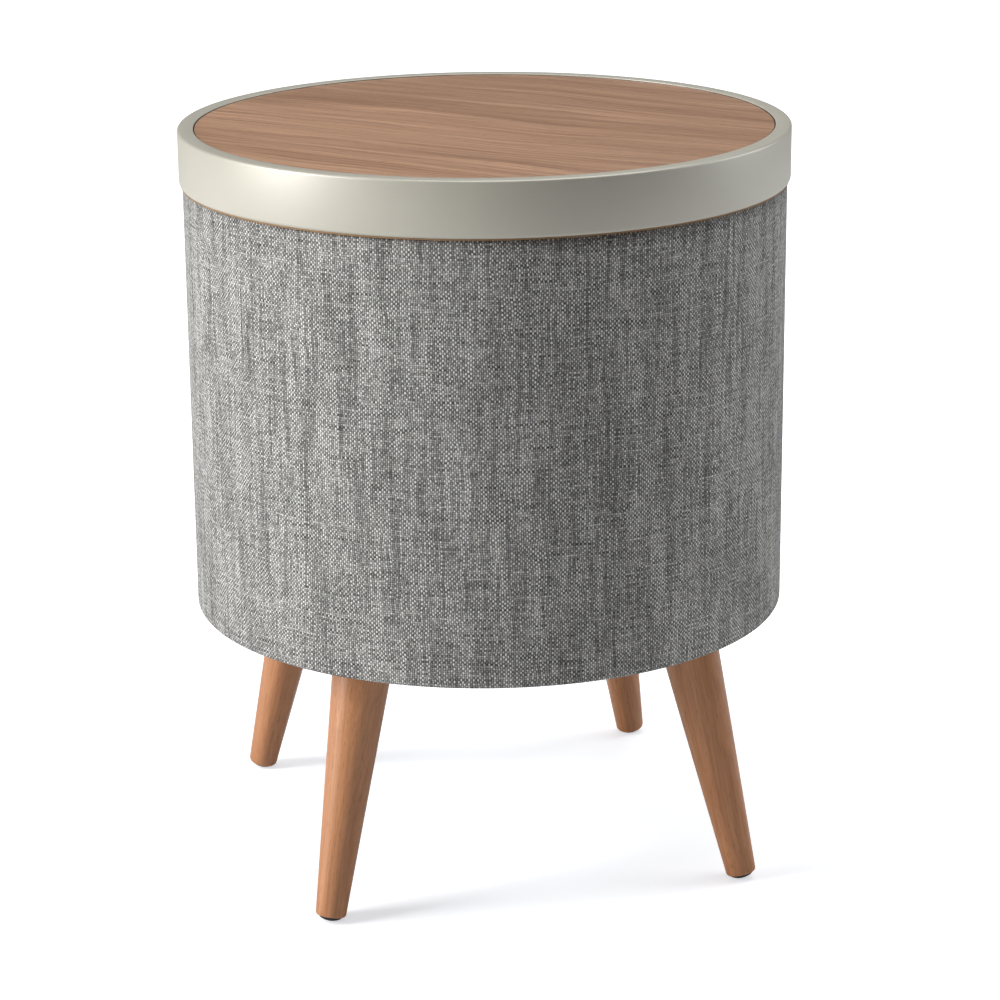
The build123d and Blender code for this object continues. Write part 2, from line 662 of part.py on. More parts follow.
def mains_inlet():
    body = panel_solid(RectangleRounded(19.0, 12.0, 1.0), INLET_X, SOCKET_LEVEL, 178.0, FLANGE_FRONT)
    body += panel_solid(RectangleRounded(23.0, 16.0, 2.0), INLET_X, SOCKET_LEVEL, PANEL_FLOOR, FLANGE_FRONT)
    body -= panel_solid(SlotOverall(15.2, 8.4), INLET_X, SOCKET_LEVEL, 182.0, FLANGE_FRONT)
    for offset in (-4.3, 4.3):
        body += panel_solid(Circle(1.2), INLET_X + offset, SOCKET_LEVEL, 181.0, 192.0)
        body += panel_solid(Rectangle(0.8, 4.0), INLET_X + offset, SOCKET_LEVEL, 172.5, 179.0)
    return body


def aux_jack():
    body = panel_solid(Circle(4.0), AUX_X, SOCKET_LEVEL, 188.0, FLANGE_FRONT)
    body += panel_solid(Circle(5.4), AUX_X, SOCKET_LEVEL, PANEL_FLOOR, FLANGE_FRONT)
    body += panel_solid(Rectangle(12.0, 11.0), AUX_X, SOCKET_LEVEL, 176.0, 189.9)
    return body - panel_solid(Circle(1.8), AUX_X, SOCKET_LEVEL, 178.0, FLANGE_FRONT)


def usb_ports():
    body = panel_solid(RectangleRounded(34.0, 10.0, 1.0), USB_X, SOCKET_LEVEL, 176.0, FLANGE_FRONT)
    body += panel_solid(RectangleRounded(37.0, 13.0, 2.0), USB_X, SOCKET_LEVEL, PANEL_FLOOR, FLANGE_FRONT)
    for offset in (-8.2, 8.2):
        body -= panel_solid(Rectangle(12.6, 5.2), USB_X + offset, SOCKET_LEVEL, 182.0, FLANGE_FRONT)
        body += panel_solid(Rectangle(11.0, 1.8), USB_X + offset, SOCKET_LEVEL + 1.0, 181.0, PANEL_FLOOR)
    return body


def control_board():
    board = box_between((-54.0, BOARD_FRONT - 1.6, PANEL_CENTRE), (54.0, BOARD_FRONT, PANEL_CENTRE + 26))
    for index in range(5):
        x = button_x(index)
        board += panel_solid(Rectangle(6.0, 6.0), x, BUTTON_LEVEL, BOARD_FRONT, BOARD_FRONT + 2.0)
        board += panel_solid(Circle(1.6), x, BUTTON_LEVEL, BOARD_FRONT, BOARD_FRONT + 2.6)
    return board


def save_panel():
    save("rear_panel", rear_panel())
    for index, name in enumerate(BUTTON_NAMES):
        save(f"{name}_button", button(index))
    save("mains_inlet", mains_inlet())
    save("aux_jack", aux_jack())
    save("usb_ports", usb_ports())
    lens = panel_solid(Circle(LENS_RADIUS), LENS_X, BUTTON_LEVEL, BOARD_FRONT + 4, PANEL_FLOOR + 0.5)
    save("status_lens", fillet(lens.edges().group_by(Axis.Y)[-1], 0.4))
    save("control_board", control_board())


# --- Amplifier, power supply and leads --------------------------------------------------
AMP_LOW = (50.0, -105.0)
AMP_HIGH = (145.0, -40.0)
STANDOFF_HEIGHT = 6.0
AMP_TOP = BASE_TOP + STANDOFF_HEIGHT + 1.6
SUPPLY_LOW = (-155.0, 35.0)
SUPPLY_HIGH = (-65.0, 85.0)
SUPPLY_TOP = BASE_TOP + 35.0


def amplifier_board():
    board = box_between((*AMP_LOW, BASE_TOP + STANDOFF_HEIGHT), (*AMP_HIGH, AMP_TOP))
    for x in (108.0, 121.0, 134.0):
        board += Pos(x, -52, AMP_TOP) * Cylinder(5.0, 16.0, align=STANDING)
    return board


def board_standoffs():
    inset = 6.0
    pillar = Cylinder(3.0, STANDOFF_HEIGHT, align=STANDING)
    return [
        Pos(x, y, BASE_TOP) * pillar
        for x in (AMP_LOW[0] + inset, AMP_HIGH[0] - inset)
        for y in (AMP_LOW[1] + inset, AMP_HIGH[1] - inset)
    ]


def amplifier_heatsink():
    block = box_between((62.0, -96.0, AMP_TOP), (134.0, -66.0, AMP_TOP + 4))
    for index in range(9):
        x = 62.0 + index * 8.625
        block += box_between((x, -96.0, AMP_TOP + 4), (x + 3.0, -66.0, AMP_TOP + 24))
    return block


def power_supply():
    case = box_between((*SUPPLY_LOW, BASE_TOP), (*SUPPLY_HIGH, SUPPLY_TOP))
    return fillet(case.edges().filter_by(Axis.Z), 4.0)


def lead(points, radius, bend):
    """A round lead along straight runs joined by arcs."""
    path = FilletPolyline(*points, radius=bend)
    start = Plane(origin=path @ 0, z_dir=path % 0)
    return sweep(start * Circle(radius), path)


def save_electronics():
    save("amplifier_board", amplifier_board())
    save("board_standoffs", *board_standoffs())
    save("amplifier_heatsink", amplifier_heatsink())
    save("power_supply", power_supply())
    sub_lead = lead([(58, -48, AMP_TOP), (58, -48, 243), (38, -28, 243)], 1.8, 12.0)
    left_route = [
        (60, -101, AMP_TOP),
        (60, -101, 240),
        (-60, -140, 240),
        (-130, -90, 280),
        (-140, -50, 340),
    ]
    left_lead = lead(left_route, 1.8, 18.0)
    right_lead = lead([(139, -72, AMP_TOP), (139, -72, 310), (139, -48, 340)], 1.8, 20.0)
    save("speaker_leads", sub_lead, left_lead, right_lead)
    charger_end = CHARGER_BOARD_TOP - 1.8
    charger_route = [(-100, 60, SUPPLY_TOP), (-100, 60, 400), (-20, 0, 430), (-20, 0, charger_end)]
    save("charger_lead", lead(charger_route, 2.0, 20.0))
    mains_route = [
        (INLET_X, 172, SOCKET_LEVEL),
        (INLET_X, 145, SOCKET_LEVEL),
        (-80, 125, 210),
        (-80, 85.5, 210),
    ]
    save("mains_lead", lead(mains_route, 2.5, 14.0))


os.makedirs("parts", exist_ok=True)
save_tabletop()
save_cabinet()
save_legs()
save_subwoofer()
save_drivers()
save_panel()
save_electronics()
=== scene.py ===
import json
import math

import bmesh
import bpy
from mathutils import Matrix, Vector


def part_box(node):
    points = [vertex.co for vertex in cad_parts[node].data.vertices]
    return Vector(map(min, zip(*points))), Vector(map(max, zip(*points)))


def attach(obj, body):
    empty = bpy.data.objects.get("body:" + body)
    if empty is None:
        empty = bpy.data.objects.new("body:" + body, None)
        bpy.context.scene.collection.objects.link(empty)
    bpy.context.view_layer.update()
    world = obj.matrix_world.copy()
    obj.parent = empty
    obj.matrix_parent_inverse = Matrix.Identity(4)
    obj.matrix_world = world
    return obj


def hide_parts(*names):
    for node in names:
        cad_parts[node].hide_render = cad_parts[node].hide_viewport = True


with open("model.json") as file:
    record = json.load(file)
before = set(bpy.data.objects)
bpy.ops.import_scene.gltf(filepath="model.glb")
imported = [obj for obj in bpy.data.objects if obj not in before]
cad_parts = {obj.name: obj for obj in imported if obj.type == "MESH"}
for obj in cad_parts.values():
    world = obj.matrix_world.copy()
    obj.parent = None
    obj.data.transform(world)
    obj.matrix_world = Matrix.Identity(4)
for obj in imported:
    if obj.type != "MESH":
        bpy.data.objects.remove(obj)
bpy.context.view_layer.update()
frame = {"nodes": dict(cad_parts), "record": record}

NODES = frame["nodes"]

# ---------------------------------------------------------------------------
# Sizes, in metres, read from the frame
# ---------------------------------------------------------------------------
rim_low, rim_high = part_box("top_rim")
board_low, board_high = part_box("tabletop_panel")
cloth_low, cloth_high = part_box("fabric_sleeve")
plates_low, plates_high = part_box("leg_plates")
panel_low, panel_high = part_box("rear_panel")

RIM_RADIUS = rim_high.x
RIM_TOP = rim_high.z
# The band hangs a little lower than the rim that it stands for, over the edge of the carrier board
RIM_HANG = 0.0004
RIM_BOTTOM = rim_low.z - RIM_HANG
RIM_WALL = 0.003
RIM_INNER_ROUND = 0.0006
RIM_TOP_ROUND = 0.0016
RIM_LOWER_ROUND = 0.0022
RIM_UNDER_ROUND = 0.0004

# Walnut board and rim both stand back from the board's own radius, so that a narrow gap stays open
BOARD_INSET = 0.0001
RIM_INSET = 0.0005
BOARD_RADIUS = board_high.x - BOARD_INSET
BOARD_TOP = board_high.z
BOARD_BOTTOM = board_low.z
BOARD_ROUND = 0.0004
RIM_INNER = board_high.x + RIM_INSET
# The thin black ring in the gap is painted shadow, standing for the rim's inner wall in shade
PAINTED_SHADOW_THICKNESS = 0.0004
PAINTED_SHADOW_DROP = 0.0006
PAINTED_SHADOW_DEPTH = 0.003
TOP_STEPS = 256

CLOTH_RADIUS = cloth_high.x
CLOTH_TOP = cloth_high.z
CLOTH_BOTTOM = cloth_low.z
CLOTH_THICKNESS = 0.0014
CLOTH_TUCK = 0.0152
CLOTH_CORNER = 0.002

# Legs: each axis meets the floor and the drum's bottom level at these distances from the middle
LEG_FOOT_REACH = 0.2024
LEG_TOP_REACH = 0.1556
LEG_THICK = 0.0203
LEG_THIN = 0.0099
LEG_AZIMUTHS = {"front_left": 225, "front_right": 315, "back_right": 45, "back_left": 135}
LEG_TILT = math.atan2(LEG_FOOT_REACH - LEG_TOP_REACH, CLOTH_BOTTOM)
LEG_AXIS = CLOTH_BOTTOM / math.cos(LEG_TILT)
LEG_END = plates_low.z
LEG_SPARE = 0.012
LEG_ROWS = 8
LEG_STEPS = 48
LEG_FOOT_ROUND = 0.002
LEG_GRAIN_STEP = 0.37
LEG_GRAIN_SHIFT = 0.05
GLIDE_RADIUS = 0.0076
GLIDE_DOME = 0.014
GLIDE_STEM = 0.001
GLIDE_ROUND = 0.0006
GLIDE_ROWS = 5
GLIDE_STEPS = 32

THREAD_PITCH = 0.00144
GRAIN_TURN = math.radians(-44)


# ---------------------------------------------------------------------------
# Mesh helpers
# ---------------------------------------------------------------------------
def spun(corners, steps, rounding=None, closed=True):
    """A shape turned about Z from (radius, height) corners; rounding gives corners a radius."""
    bm = bmesh.new()
    points = [bm.verts.new((radius, 0, height)) for radius, height in corners]
    pairs = list(zip(points, points[1:]))
    if closed:
        pairs.append((points[-1], points[0]))
    lines = [bm.edges.new(pair) for pair in pairs]
    bmesh.ops.spin(bm, geom=points + lines, axis=(0, 0, 1), cent=(0, 0, 0), angle=math.tau,
                   steps=steps, use_merge=True)
    bmesh.ops.remove_doubles(bm, verts=bm.verts, dist=1e-7)
    bmesh.ops.recalc_face_normals(bm, faces=bm.faces)
    for index, radius in (rounding or {}).items():
        round_ring(bm, *corners[index], radius)
    return bm


def round_ring(bm, ring_radius, height, amount, segments=4):
    """Rounds the circular edge at one radius and height."""
    def on_ring(vert):
        reach = math.hypot(vert.co.x, vert.co.y)
        return abs(reach - ring_radius) < 1e-6 and abs(vert.co.z - height) < 1e-6
    ring = [edge for edge in bm.edges if all(on_ring(vert) for vert in edge.verts)]
    bmesh.ops.bevel(bm, geom=ring, offset=amount, offset_type="OFFSET", affect="EDGES",
                    segments=segments, profile=0.5, material=-1)


def piece(name, bm, finish, stands_for=(), sharp=35):
    """Makes an object of a bmesh, smooth apart from edges above an angle, that rides on the cabinet."""
    mesh = bpy.data.meshes.new(name)
    bm.to_mesh(mesh)
    bm.free()
    mesh.shade_smooth()
    mesh.set_sharp_from_angle(angle=math.radians(sharp))
    mesh.materials.append(MATERIALS[finish])
    made = bpy.data.objects.new(name, mesh)
    bpy.context.scene.collection.objects.link(made)
    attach(made, "cabinet")
    if stands_for:
        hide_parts(*stands_for)
    return made


def joined(parts):
    """One bmesh that holds several."""
    whole = bmesh.new()
    for part in parts:
        spare = bpy.data.meshes.new("spare")
        part.to_mesh(spare)
        part.free()
        whole.from_mesh(spare)
        bpy.data.meshes.remove(spare)
    return whole


# ---------------------------------------------------------------------------
# Shader helpers
# ---------------------------------------------------------------------------
def shade(red, green, blue):
    """A colour from its usual 0 to 255 values, in the linear form that shaders use."""
    def linear(value):
        value /= 255
        return value / 12.92 if value <= 0.04045 else ((value + 0.055) / 1.055) ** 2.4
    return (linear(red), linear(green), linear(blue), 1.0)


def add(tree, kind, inputs=None, **settings):
    """A node with its settings, and its inputs linked or set."""
    node = tree.nodes.new(kind)
    for name, value in settings.items():
        setattr(node, name, value)
    for name, value in (inputs or {}).items():
        if isinstance(value, bpy.types.NodeSocket):
            tree.links.new(value, node.inputs[name])
        else:
            node.inputs[name].default_value = value
    return node


def calc(tree, operation, *values):
    """The result of a Math node."""
    node = add(tree, "ShaderNodeMath", dict(enumerate(values)), operation=operation)
    return node.outputs[0]


def mix(tree, factor, first, second):
    """A blend of two colours."""
    node = add(tree, "ShaderNodeMix", {0: factor, 6: first, 7: second}, data_type="RGBA")
    return node.outputs[2]


def spread(tree, value, low, high, to_low=0.0, to_high=1.0):
    """A value mapped from one range to another, and held within it."""
    node = add(tree, "ShaderNodeMapRange", {0: value, 1: low, 2: high, 3: to_low, 4: to_high})
    return node.outputs[0]


def noise(tree, place, scale, detail=3.0, roughness=0.5):
    """Soft noise, mostly between 0.3 and 0.7."""
    node = add(tree, "ShaderNodeTexNoise", {"Vector": place, "Scale": scale, "Detail": detail,
                                            "Roughness": roughness})
    return node.outputs["Fac"]


def stretch(tree, place, scale=(1, 1, 1), turn=(0, 0, 0)):
    """A place scaled along each axis and turned."""
    node = add(tree, "ShaderNodeMapping", {"Vector": place, "Scale": scale, "Rotation": turn})
    return node.outputs[0]


def join(tree, x, y, z=0.0):
    """A place from its three values."""
    return add(tree, "ShaderNodeCombineXYZ", {0: x, 1: y, 2: z}).outputs[0]


def new_group(name, inputs, outputs):
    """A shader node group with named inputs and outputs, and its two end nodes."""
    tree = bpy.data.node_groups.new(name, "ShaderNodeTree")
    for label, kind in inputs:
        tree.interface.new_socket(name=label, in_out="INPUT", socket_type=kind)
    for label, kind in outputs:
        tree.interface.new_socket(name=label, in_out="OUTPUT", socket_type=kind)
    return tree, tree.nodes.new("NodeGroupInput").outputs, tree.nodes.new("NodeGroupOutput").inputs


def use(tree, group, inputs):
    """A group placed in a material, by its outputs."""
    return add(tree, "ShaderNodeGroup", inputs, node_tree=group).outputs


VECTOR = "NodeSocketVector"
VALUE = "NodeSocketFloat"


def weave_group():
    """Plain weave: warp and weft pass over each other in turn, and each thread has its own slubs; the low
    parts between thread crowns carry painted shade.
    """
    tree, given, result = new_group("plain_weave", [("Place", VECTOR), ("Pitch", VALUE)],
                                    [("Tone With Painted Shade", VALUE), ("Height", VALUE)])
    parts = add(tree, "ShaderNodeSeparateXYZ", {0: given["Place"]}).outputs
    sway = spread(tree, noise(tree, given["Place"], 70.0, 3.0), 0.3, 0.7, -0.5, 0.5)
    drift = spread(tree, noise(tree, given["Place"], 43.0, 3.0), 0.3, 0.7, -0.5, 0.5)
    u = calc(tree, "ADD", calc(tree, "DIVIDE", parts[0], given["Pitch"]), sway)
    v = calc(tree, "ADD", calc(tree, "DIVIDE", parts[1], given["Pitch"]), drift)
    warp_number = calc(tree, "FLOOR", u)
    weft_number = calc(tree, "FLOOR", v)

    def crown(position):
        return calc(tree, "SINE", calc(tree, "MULTIPLY", calc(tree, "FRACT", position), math.pi))

    def wave(along, number, sign):
        turn = calc(tree, "MULTIPLY", calc(tree, "ADD", along, number), math.pi)
        return calc(tree, "MULTIPLY_ADD", calc(tree, "SINE", turn), 0.5 * sign, 0.5)

    def slub(number, along, length, seed):
        apart = calc(tree, "MULTIPLY", number, 3.7)
        place = join(tree, apart, calc(tree, "DIVIDE", along, length), seed)
        return noise(tree, place, 1.0, 3.0, 0.55)

    warp_height = calc(tree, "MULTIPLY", crown(u), wave(v, warp_number, 1))
    weft_height = calc(tree, "MULTIPLY", crown(v), wave(u, weft_number, -1))
    warp_on_top = calc(tree, "GREATER_THAN", warp_height, weft_height)
    height = calc(tree, "MAXIMUM", warp_height, weft_height)
    warp_tone = spread(tree, slub(warp_number, v, 50.0, 2.0), 0.3, 0.7, 0.22, 1.22)
    weft_tone = spread(tree, slub(weft_number, u, 22.0, 9.0), 0.3, 0.7, 0.08, 0.48)
    difference = calc(tree, "SUBTRACT", warp_tone, weft_tone)
    tone = calc(tree, "MULTIPLY_ADD", difference, warp_on_top, weft_tone)
    # Painted shade: the low parts between thread crowns are darkened and the crowns lifted; each crossing
    # then gets its own random tone
    painted_shade_and_tone = spread(tree, height, 0.15, 0.8, 0.2, 1.25)
    crossing = join(tree, warp_number, weft_number)
    chance = add(tree, "ShaderNodeTexWhiteNoise", {"Vector": crossing}).outputs["Value"]
    painted_shade_and_tone = calc(tree, "MULTIPLY", painted_shade_and_tone, spread(tree, chance, 0.0, 1.0, 0.52, 1.33))
    fibres = spread(tree, noise(tree, given["Place"], 1700.0, 2.0), 0.3, 0.7, 0.6, 1.4)
    tree.links.new(calc(tree, "MULTIPLY", calc(tree, "MULTIPLY", tone, painted_shade_and_tone), fibres), result["Tone With Painted Shade"])
    tree.links.new(height, result["Height"])
    return tree


def grain_group():
    """Wood whose grain runs along X: soft streaks, fine lines and short pores."""
    tree, given, result = new_group("wood_grain", [("Place", VECTOR), ("Streak Width", VALUE)],
                                    [("Streaks", VALUE), ("Lines", VALUE), ("Pores", VALUE)])
    sway = noise(tree, stretch(tree, given["Place"], (4.0, 9.0, 9.0)), 1.0, 2.0)
    parts = add(tree, "ShaderNodeSeparateXYZ", {0: given["Place"]}).outputs
    bend = spread(tree, sway, 0.2, 0.8, -0.016, 0.016)
    across = calc(tree, "ADD", parts[1], bend)

    def streaked(width, length, seed, detail, roughness):
        place = join(tree, calc(tree, "ADD", calc(tree, "DIVIDE", parts[0], length), seed),
                     calc(tree, "DIVIDE", across, width), calc(tree, "DIVIDE", parts[2], width))
        return noise(tree, place, 1.0, detail, roughness)

    wide = streaked(given["Streak Width"], 0.35, 3.0, 4.0, 0.55)
    narrow = streaked(calc(tree, "MULTIPLY", given["Streak Width"], 0.14), 0.13, 7.0, 3.0, 0.6)
    fine = streaked(calc(tree, "MULTIPLY", given["Streak Width"], 0.05), 0.010, 11.0, 1.0, 0.5)
    tree.links.new(spread(tree, wide, 0.3, 0.7), result["Streaks"])
    tree.links.new(spread(tree, narrow, 0.3, 0.7), result["Lines"])
    tree.links.new(spread(tree, fine, 0.62, 0.74), result["Pores"])
    return tree


def mottle_group():
    """Fine grain and slow unevenness, for paint, plastic, metal and rubber."""
    tree, given, result = new_group("mottle", [("Place", VECTOR), ("Grain Size", VALUE)],
                                    [("Cloud", VALUE), ("Grain", VALUE)])
    tree.links.new(spread(tree, noise(tree, given["Place"], 14.0, 4.0), 0.3, 0.7), result["Cloud"])
    finer = calc(tree, "DIVIDE", 1.0, given["Grain Size"])
    scaled = add(tree, "ShaderNodeVectorMath", {0: given["Place"], "Scale": finer},
                 operation="SCALE").outputs[0]
    tree.links.new(spread(tree, noise(tree, scaled, 1.0, 2.0), 0.3, 0.7), result["Grain"])
    return tree


WEAVE = weave_group()
GRAIN = grain_group()
MOTTLE = mottle_group()


def new_material(name, **finish):
    """A material with its Principled shader's own constants set."""
    material = bpy.data.materials.new(name)
    material.use_nodes = True
    tree = material.node_tree
    shader = tree.nodes["Principled BSDF"]
    for label, value in finish.items():
        shader.inputs[label.replace("_", " ").title().replace("Ior", "IOR")].default_value = value
    return material, tree, shader


def object_place(tree):
    """Places in the object's own coordinates, in metres."""
    return tree.nodes.new("ShaderNodeTexCoord").outputs["Object"]


def bump(tree, shader, height, distance, strength=1.0):
    """Relief of a given depth in metres."""
    node = add(tree, "ShaderNodeBump", {"Height": height, "Distance": distance, "Strength": strength})
    tree.links.new(node.outputs[0], shader.inputs["Normal"])


def plain_finish(name, dark, light, roughness, grain_size, depth, **finish):
    """Paint, plastic, metal or rubber: two close colours, uneven gloss and a fine relief."""
    material, tree, shader = new_material(name, **finish)
    marks = use(tree, MOTTLE, {"Place": object_place(tree), "Grain Size": grain_size})
    tree.links.new(mix(tree, marks["Cloud"], dark, light), shader.inputs["Base Color"])
    spare = 0.12 * roughness
    tree.links.new(spread(tree, marks["Grain"], 0.0, 1.0, roughness - spare, roughness + spare),
                   shader.inputs["Roughness"])
    bump(tree, shader, marks["Grain"], depth)
    return material


def wood_finish(name, place, width, colours, roughness, depth, lining=0.45, **finish):
    """Wood from its light, dark and line colours.

    place gives the grain's coordinates, width is the width of a streak, and lining is how strongly
    the fine lines show.
    """
    material, tree, shader = new_material(name, **finish)
    light, dark, line = colours
    grain = use(tree, GRAIN, {"Place": place(tree), "Streak Width": width})
    body = mix(tree, grain["Streaks"], dark, light)
    lined = mix(tree, calc(tree, "MULTIPLY", grain["Lines"], lining), body, line)
    pored = mix(tree, calc(tree, "MULTIPLY", grain["Pores"], 0.55), lined, line)
    tree.links.new(pored, shader.inputs["Base Color"])
    tree.links.new(spread(tree, grain["Lines"], 0.0, 1.0, roughness, roughness + 0.12),
                   shader.inputs["Roughness"])
    relief = calc(tree, "SUBTRACT", 1.0, calc(tree, "MULTIPLY_ADD", grain["Pores"], 0.8,
                                              calc(tree, "MULTIPLY", grain["Lines"], 0.2)))
    bump(tree, shader, relief, depth)
    return material


def top_place(tree):
    """Places on the top, turned so that the grain runs along X."""
    return stretch(tree, object_place(tree), turn=(0, 0, -GRAIN_TURN))


def leg_place(tree):
    """Places on a leg, with X along its own axis."""
    return add(tree, "ShaderNodeAttribute", attribute_name="along_grain").outputs["Vector"]


def cloth_finish():
    """Grey plain weave on the flat cloth's own measures, in patches that run up and down."""
    material, tree, shader = new_material("grey_weave", specular_ior_level=0.2)
    place = add(tree, "ShaderNodeUVMap", uv_map="cut").outputs[0]
    weave = use(tree, WEAVE, {"Place": place, "Pitch": THREAD_PITCH})
    patches = noise(tree, stretch(tree, place, (1.0, 0.16, 1.0)), 70.0, 4.0)
    # The weave's tone carries painted shade between the thread crowns
    tone = calc(tree, "MULTIPLY", weave["Tone With Painted Shade"], spread(tree, patches, 0.3, 0.7, 0.78, 1.2))
    colour = mix(tree, tone, shade(35, 35, 34), shade(230, 229, 225))
    tree.links.new(colour, shader.inputs["Base Color"])
    tree.links.new(spread(tree, weave["Height"], 0.0, 1.0, 0.95, 0.8), shader.inputs["Roughness"])
    bump(tree, shader, weave["Height"], 0.00035, 0.8)
    return material


MATERIALS = {
    "walnut_veneer": wood_finish("walnut_veneer", top_place, 0.016,
                                 (shade(207, 164, 133), shade(166, 126, 98), shade(86, 60, 46)),
                                 0.36, 0.00004, 0.58, coat_weight=0.12, coat_roughness=0.3),
    "stained_beech": wood_finish("stained_beech", leg_place, 0.012,
                                 (shade(208, 147, 101), shade(180, 120, 76), shade(128, 76, 46)),
                                 0.36, 0.00003, 0.36, coat_weight=0.2, coat_roughness=0.25),
    "fibreboard": wood_finish("fibreboard", object_place, 0.004,
                              (shade(160, 128, 92), shade(138, 108, 76), shade(112, 86, 58)),
                              0.7, 0.00005),
    "bent_plywood": wood_finish("bent_plywood", object_place, 0.02,
                                (shade(205, 172, 128), shade(180, 142, 98), shade(140, 104, 70)),
                                0.6, 0.00005),
    "grey_weave": cloth_finish(),
    "silver_paint": plain_finish("silver_paint", shade(186, 182, 168), shade(191, 187, 174), 0.44, 0.0006,
                                 0.000004, metallic=0.18, specular_ior_level=0.9, coat_weight=0.6,
                                 coat_roughness=0.42),
    "black_moulding": plain_finish("black_moulding", shade(26, 26, 27), shade(34, 34, 35), 0.55, 0.0004,
                                   0.00002),
    "foot_plastic": plain_finish("foot_plastic", shade(12, 12, 12), shade(18, 18, 18), 0.45, 0.001,
                                 0.00001),
    "button_plastic": plain_finish("button_plastic", shade(38, 38, 40), shade(46, 46, 48), 0.4, 0.0005,
                                   0.00001),
    "zinc_steel": plain_finish("zinc_steel", shade(178, 180, 182), shade(200, 202, 204), 0.34, 0.0012,
                               0.00001, metallic=1.0),
    "black_steel": plain_finish("black_steel", shade(24, 24, 24), shade(32, 32, 32), 0.5, 0.0007, 0.00002),
    "ferrite": plain_finish("ferrite", shade(58, 58, 60), shade(74, 74, 76), 0.6, 0.0008, 0.00002),
    "cone_paper": plain_finish("cone_paper", shade(34, 34, 34), shade(48, 48, 47), 0.85, 0.0015,
                               0.00006),
    "black_rubber": plain_finish("black_rubber", shade(22, 22, 22), shade(30, 30, 30), 0.6, 0.0008,
                                 0.00002),
    "copper_wire": plain_finish("copper_wire", shade(184, 104, 62), shade(206, 128, 82), 0.3, 0.0004,
                                0.00002, metallic=1.0),
    "circuit_board": plain_finish("circuit_board", shade(20, 74, 44), shade(28, 92, 56), 0.4, 0.002,
                                  0.00002),
    "bare_aluminium": plain_finish("bare_aluminium", shade(190, 191, 193), shade(204, 205, 207), 0.4,
                                   0.0006, 0.00001, metallic=1.0),
    "lead_sheath": plain_finish("lead_sheath", shade(28, 28, 28), shade(38, 38, 38), 0.5, 0.001, 0.00002),
    "clear_lens": plain_finish("clear_lens", shade(205, 215, 225), shade(220, 228, 235), 0.25, 0.0005,
                               0.00001, transmission_weight=0.6),
}
# Every CAD node takes the finish of its own slot
for part in frame["record"]["subparts"]:
    node = NODES[part["node"]]
    node.data.materials.clear()
    node.data.materials.append(MATERIALS[part["material_slot"]])


# ---------------------------------------------------------------------------
# Top: rim and walnut board
# ---------------------------------------------------------------------------
def make_rim():
    """The silver band, open below, and a thin black ring in the gap between it and the walnut, which is
    painted shadow for the rim's inner wall in shade.
    """
    inner_wall = RIM_RADIUS - RIM_WALL
    corners = [(RIM_INNER, BOARD_BOTTOM), (RIM_INNER, RIM_TOP), (RIM_RADIUS, RIM_TOP),
               (RIM_RADIUS, RIM_BOTTOM), (inner_wall, RIM_BOTTOM), (inner_wall, BOARD_BOTTOM)]
    rounding = {1: RIM_INNER_ROUND, 2: RIM_TOP_ROUND, 3: RIM_LOWER_ROUND, 4: RIM_UNDER_ROUND}
    piece("rim_band", spun(corners, TOP_STEPS, rounding), "silver_paint", stands_for=["top_rim"])
    # Painted shadow: a black ring where the rim's inner wall would be in shade
    painted_shadow_inner = RIM_INNER - PAINTED_SHADOW_THICKNESS
    painted_shadow_top = RIM_TOP - PAINTED_SHADOW_DROP
    painted_shadow_bottom = BOARD_TOP - PAINTED_SHADOW_DEPTH
    section = [(painted_shadow_inner, painted_shadow_bottom), (painted_shadow_inner, painted_shadow_top), (RIM_INNER, painted_shadow_top),
               (RIM_INNER, painted_shadow_bottom)]
    piece("painted_shadow_ring", spun(section, TOP_STEPS), "black_moulding")


def make_board():
    """The walnut top, a plain disc with a softened upper edge."""
    corners = [(0, BOARD_BOTTOM), (BOARD_RADIUS, BOARD_BOTTOM), (BOARD_RADIUS, BOARD_TOP),
               (0, BOARD_TOP)]
    bm = spun(corners, TOP_STEPS, {2: BOARD_ROUND}, closed=False)
    piece("walnut_board", bm, "walnut_veneer", stands_for=["tabletop_panel"])


# ---------------------------------------------------------------------------
# Cloth sleeve
# ---------------------------------------------------------------------------
PANEL_LAP = 0.004
SLEEVE_STEPS = 180
SLEEVE_ROWS = 24


def lay_flat(bm, name):
    """Gives each face its place on the flat cloth, in metres, with the cut at the back."""
    layer = bm.loops.layers.uv.new(name)
    for face in bm.faces:
        centre = face.calc_center_median()
        middle = math.atan2(centre.x, -centre.y)
        for loop in face.loops:
            spot = loop.vert.co
            angle = math.atan2(spot.x, -spot.y)
            if angle - middle > math.pi:
                angle -= math.tau
            elif middle - angle > math.pi:
                angle += math.tau
            reach = math.hypot(spot.x, spot.y)
            loop[layer].uv = (angle * CLOTH_RADIUS, spot.z - (CLOTH_RADIUS - reach))


